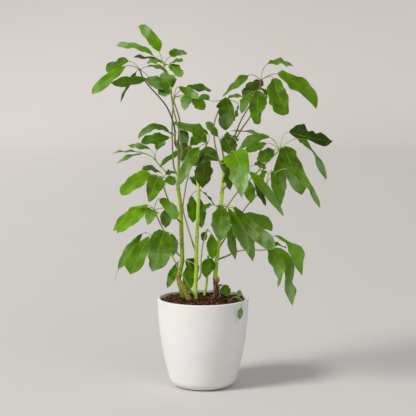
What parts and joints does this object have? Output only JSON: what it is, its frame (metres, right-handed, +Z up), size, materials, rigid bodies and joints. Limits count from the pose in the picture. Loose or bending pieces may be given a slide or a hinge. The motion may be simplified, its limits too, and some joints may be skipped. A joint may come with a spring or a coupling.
{
  "type": "potted umbrella plant",
  "caption": "Umbrella plant with drooping palmate leaves on long stalks, green stems and a woody cane, standing in a smooth round white pot of bark soil.",
  "frame": {"origin": "centre of the flat underside of the pot, on its axis", "axes": "+Z up along the pot's axis, -Y towards the side seen first, +X to the right of that view"},
  "size_m": [0.6738, 0.4589, 1.0282],
  "materials": {
    "pot": "smooth matt white",
    "soil": "dark bark chips and soil",
    "stem": "smooth fresh green bark",
    "bark": "tan bark with rings",
    "root": "dry pale root",
    "leaf": "waxy green leaf with a soft gloss",
    "weed": "soft grey-green leaf"
  },
  "bodies": {
    "root": {"pot": "pot", "soil": "soil", "stem_left": "stem", "stem_middle": "stem", "stem_right": "stem", "shoot": "stem", "woody_cane": "bark", "aerial_root_1": "root", "aerial_root_2": "root", "leaf_top_left": "leaf", "leaf_crown": "leaf", "leaf_upper_left": "leaf", "leaf_upper_middle": "leaf", "leaf_upper_centre": "leaf", "leaf_upper_right": "leaf", "leaf_right_inner": "leaf", "leaf_right_outer": "leaf", "leaf_right_drooping": "leaf", "leaf_right_front": "leaf", "leaf_centre_big": "leaf", "leaf_centre": "leaf", "leaf_centre_right": "leaf", "leaf_centre_left": "leaf", "leaf_left_upper": "leaf", "leaf_left_pale": "leaf", "leaf_left_mid": "leaf", "leaf_left_lower": "leaf", "leaf_left_lowest": "leaf", "leaf_middle_small": "leaf", "leaf_centre_low": "leaf", "leaf_right_low": "leaf", "leaf_inner_low": "leaf", "leaf_inner_lowest": "leaf", "leaf_base_left": "leaf", "leaf_base_right": "leaf", "creeper": "weed"}
  },
  "joints": []
}
